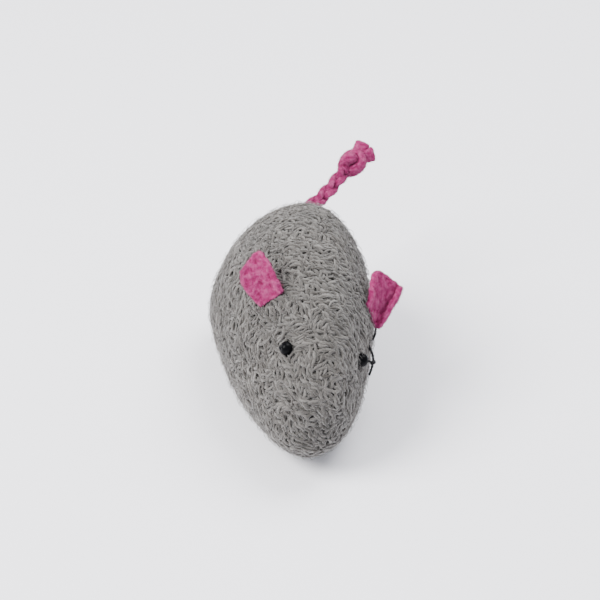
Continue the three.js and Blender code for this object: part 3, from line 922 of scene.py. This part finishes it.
def make_plait(material):
    start, end = PLAIT_START, KNOT_DISTANCE - PLAIT_SHORT_OF_KNOT
    wide, out = plait_axes()
    steps = 90
    t = np.linspace(0, 1, steps)
    narrow, widening = PLAIT_GATHER
    gather = np.clip(t / widening, narrow, 1)
    half_width = np.full(steps, 0.5 * STRIP_WIDTH * STRIP_SQUEEZE)
    half_height = np.full(steps, STRIP_THICKNESS / 2)
    strips = []
    for index in range(3):
        phase = 2 * np.pi * (PLAIT_TURNS * t + index / 3)
        across = PLAIT_HALF_WIDTH * np.sin(phase) * gather - TAIL_BOW * np.sin(np.pi * t)
        rise = PLAIT_HALF_DEPTH * np.sin(2 * phase) * gather
        path = tail_point(start + (end - start) * t) + wide * across[:, None] + out * rise[:, None]
        strip = strip_mesh(f"plait_strip_{index + 1}", path, out, material, half_width, half_height, taper=3)
        strips.append(soften(strip, 2))
        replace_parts(strip, f"tail_strip_{index + 1}")
    return strips


def overhand_route():
    """The bundle's middle line through an overhand knot, entering and leaving along the tail."""
    points = [  # along the tail, across it and out of it
        (-4.4, 0.0, 0.0), (-2.6, 0.4, -0.4), (-0.3, 1.7, -1.2), (1.9, 1.6, -0.6), (2.7, -0.1, 1.0),
        (1.2, -1.9, 1.5), (-1.1, -1.9, 0.2), (-2.4, -0.4, -1.5), (-1.8, 1.5, 0.3), (-0.1, 1.3, 1.9),
        (1.2, -0.3, 0.2), (2.4, -0.8, -1.2), (3.8, 0.0, -0.2),
    ]
    wide, out = plait_axes()
    middle = tail_point(KNOT_DISTANCE)
    return np.array([middle + (TAIL_FORWARD * f + wide * s + out * u) * KNOT_SCALE for f, s, u in points])


def make_knot(material):
    path = catmull(overhand_route(), 14)
    normal, binormal = sweep_frames(path, plait_axes()[1])
    angle = np.linspace(0, KNOT_TWIST, len(path))
    half_width, half_height = (np.full(len(path), half) for half in KNOT_STRIP)
    strips = []
    for index in range(3):
        around = angle + 2 * np.pi * index / 3
        offset = normal * np.cos(around)[:, None] + binormal * np.sin(around)[:, None]
        strip = strip_mesh(f"knot_strip_{index + 1}", path + offset * KNOT_SPREAD, offset, material,
                           half_width, half_height, taper=3)
        strips.append(soften(strip, 2))
    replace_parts(strips[0], "tail_knot")
    return strips


def make_tips(material):
    """The three cut ends, each leaning its own way out of the knot."""
    wide, out = plait_axes()
    tips = []
    for index, (across, rise) in enumerate(TIP_LEANS):
        start = tail_point(KNOT_DISTANCE + 2.2 * MM) + (wide * across + out * rise) * 0.7 * MM
        middle = start + (TAIL_FORWARD * 3.0 + wide * across * 0.9 + out * rise * 0.9) * MM
        end = middle + (TAIL_FORWARD * 2.8 + wide * across * 1.1 + out * rise * 0.4) * MM
        path = catmull(np.array([start, middle, end]), 10)
        count = len(path)
        tip = strip_mesh(f"cut_tip_{index + 1}", path, out + wide * 0.5 * across, material,
                         np.linspace(1.9, 2.7, count) * MM, np.full(count, TIP_HALF_THICKNESS), taper=1)
        tips.append(soften(tip, 2))
        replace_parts(tip, f"tail_tip_{index + 1}")
    return tips


def make_tail_root(material):
    """The strips' sewn ends: a stub out of the seam, and the bound bend that the tail turns on."""
    box = np.mean(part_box("tail_root"), axis=0)
    out = unit(TAIL_PIVOT - box)
    reach = np.linalg.norm(TAIL_PIVOT - box) - ROOT_CLEAR
    path = np.array([box + out * distance for distance in np.linspace(-ROOT_SUNK, reach, 10)])
    half_width, half_height = (np.full(len(path), half) for half in ROOT_STUB)
    stub = strip_mesh("tail_root_fleece", path, TAIL_UP, material, half_width, half_height)
    turn = np.linspace(0, np.pi, 12)
    path = tail_point(-ROOT_BEND_REACH * np.cos(turn))
    round_off = np.maximum(np.sin(turn), 0.12)
    half_width, half_height = (half * round_off for half in ROOT_BEND)
    bend = strip_mesh("tail_bend_fleece", path, TAIL_UP, material, half_width, half_height)
    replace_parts(stub, "tail_root")
    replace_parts(bend, "tail_binding")
    return {"toy_body": soften(stub, 3), "tail_base": soften(bend, 3)}


def make_tail(material, rng):
    root = make_tail_root(material)
    pieces = make_plait(material) + make_knot(material) + make_tips(material)
    felt_and_shade(pieces + list(root.values()), **TAIL_FELT_AND_SHADE)
    riders = [("tail", piece) for piece in pieces] + list(root.items())
    for body, piece in riders:
        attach(piece, body)
        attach(make_pile(f"{piece.name}_pile", Surface(piece), material, rng), body)


# ---- Eyes and loose threads -----------------------------------------------------------------------------
def lathe(name, profile, centre, axis, material, sides=40):
    """A closed profile of (radius, height) pairs turned about an axis."""
    spin = Vector((0, 0, 1)).rotation_difference(Vector(axis)).to_matrix()
    vertices = []
    for k in range(sides):
        a = 2 * math.pi * k / sides
        for r, h in profile:
            vertices.append(spin @ Vector((r * math.cos(a), r * math.sin(a), h)) + Vector(centre))
    n = len(profile)
    faces = []
    for k in range(sides):
        for i in range(n):
            here, there = k * n, ((k + 1) % sides) * n
            following = (i + 1) % n
            faces.append((here + i, here + following, there + following, there + i))
    obj = mesh_object(name, vertices, faces, material)
    bm = bmesh.new()
    bm.from_mesh(obj.data)
    bmesh.ops.recalc_face_normals(bm, faces=bm.faces)
    bm.to_mesh(obj.data)
    bm.free()
    return obj


def thread_piece(name, route, per_span, material):
    """A plain stitching thread along a route."""
    path = catmull(np.array(route), per_span)
    normal, _ = sweep_frames(path, (0.3, 0.2, 1))
    radius = np.full((1, len(path)), STITCH_RADIUS)
    piece = strands_mesh(name, path[None], normal[None], radius, np.array([0.5]), material, sides=8)
    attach(piece, "toy_body")
    return piece


def right_bead_stitch(centre, outward, inward, outer, half, material):
    """Thread from inside the head, out through the bead's hole, and back over the bead into the wool."""
    down = unit(inward - outward * (inward @ outward))
    clear = 0.18 * MM
    route = [centre - outward * half + inward * STITCH_DEPTH, centre - outward * half * 0.8, centre,
             centre + outward * (half + clear)]
    for k in range(1, 7):
        a = math.pi * (0.5 - k / 8)
        route.append(centre + outward * (half + clear) * math.sin(a) + down * (outer + clear) * math.cos(a))
    route.append(route[-1] - outward * 1.5 * MM + inward * 1.5 * MM)
    return thread_piece("right_bead_stitch", route, 5, material)


def left_bead_stitch(centre, outward, inward, half, material):
    """Thread out through the bead's hole to the knot that the loose ends hang from."""
    knot = (np.array(LONG_END[0]) + BODY_OFFSET) * MM
    route = [centre - outward * half + inward * STITCH_DEPTH, centre - outward * half * 0.8, centre,
             centre + outward * (half + 0.2 * MM),
             (centre + outward * half + knot) / 2 + outward * 0.3 * MM, knot]
    t = 2 * np.pi * np.arange(25) / 24
    trefoil = np.stack([np.sin(t) + 2 * np.sin(2 * t), np.cos(t) - 2 * np.cos(2 * t), -np.sin(3 * t)], axis=1)
    thread_piece("left_eye_knot", knot + trefoil * EYE_KNOT_SIZE, 4, material)
    thread_piece("left_bead_stitch", route, 5, material)


def make_eyes(material, thread, surface):
    centres = {side: np.mean(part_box(f"{side}_eye_bead"), axis=0) for side in ("right", "left")}
    axis = unit(centres["left"] - centres["right"])
    outer, half = BEAD_RADIUS, BEAD_HALF_LENGTH
    for side, centre in centres.items():
        inward = surface.project(centre[None])[0][0] - centre
        centre = centre + unit(inward) * BEAD_SINK[side]
        profile = []
        for k in range(17):
            a = math.pi * (k / 16 - 0.5)
            radius = BEAD_HOLE + (outer - BEAD_HOLE) * abs(math.cos(a)) ** 0.8
            profile.append((radius, half * math.sin(a)))
        bead = lathe(f"{side}_bead", profile, centre, axis, material)
        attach(bead, "toy_body")
        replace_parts(bead, f"{side}_eye_bead")
        if side == "left":
            left_bead_stitch(centre, axis, unit(inward), half, thread)
        else:
            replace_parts(right_bead_stitch(centre, -axis, unit(inward), outer, half, thread), "eye_thread")


def twisted_thread(name, route, material, per_span):
    """Two plies twisted together along a route given in millimetres; returns the piece and its path."""
    path = catmull((np.array(route) + BODY_OFFSET) * MM, per_span)
    normal, binormal = sweep_frames(path, (0, 0, 1))
    travelled = np.concatenate([[0], np.cumsum(np.linalg.norm(np.diff(path, axis=0), axis=1))])
    ply = 0.24 * THREAD_DIAMETER
    centres, ups = [], []
    for half in (0, math.pi):
        angle = half + 2 * math.pi * travelled / THREAD_TWIST
        out = normal * np.cos(angle)[:, None] + binormal * np.sin(angle)[:, None]
        centres.append(path + out * ply)
        ups.append(out)
    radius = np.full((2, len(path)), 0.36 * THREAD_DIAMETER)
    piece = strands_mesh(name, np.array(centres), np.array(ups), radius, np.array([0.4, 0.6]), material,
                         sides=8)
    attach(piece, "toy_body")
    return piece, path


def make_loose_threads(material):
    piece, path = twisted_thread("loose_thread", LONG_END, material, 8)
    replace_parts(piece, "loose_thread_long")
    short, _ = twisted_thread("short_thread", SHORT_END, material, 8)
    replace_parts(short, "loose_thread_short")


def paint_node(name, material):
    mesh = frame["nodes"][name].data
    mesh.materials.clear()
    mesh.materials.append(material)


# ---- The toy ------------------------------------------------------------------------------------------
make_camera()
black = fibre_material("black_thread", BLACK_DARK, BLACK_MID, BLACK_LIGHT, sheen=0.1)
make_loose_threads(black)
wool = fibre_material("wool_knit", WOOL_DARK, WOOL_MID, WOOL_LIGHT, soft=0.25)
pink = fibre_material("pink_fleece", PINK_DARK, PINK_MID, PINK_LIGHT, fibre_scale=3800,
                      bump_depth=0.12 * MM, sheen=0.08)
grey = fibre_material("grey_thread", WOOL_DARK, WOOL_DARK, WOOL_MID)
thread = fibre_material("pink_thread", PINK_DARK, PINK_MID, PINK_MID)
stuffing = fibre_material("stuffing", FILLING_DARK, FILLING_MID, FILLING_LIGHT)

skin = make_skin()
surface = Surface(skin)
cloth_panels(skin, wool)
make_yarn(surface, wool, RNG)
make_wool_fuzz(surface, wool, RNG)
make_eyes(bead_material(), black, surface)
bpy.data.objects.remove(skin)

for side in ("right", "left"):
    make_ear(side, pink, RNG)
    paint_node(f"{side}_ear_stitch", thread)
make_tail(pink, RNG)
paint_node("stuffing", stuffing)
for name in ("back_seam_thread", "rump_seam_thread", "base_seam_thread"):
    paint_node(name, grey)

make_floor()
make_light()
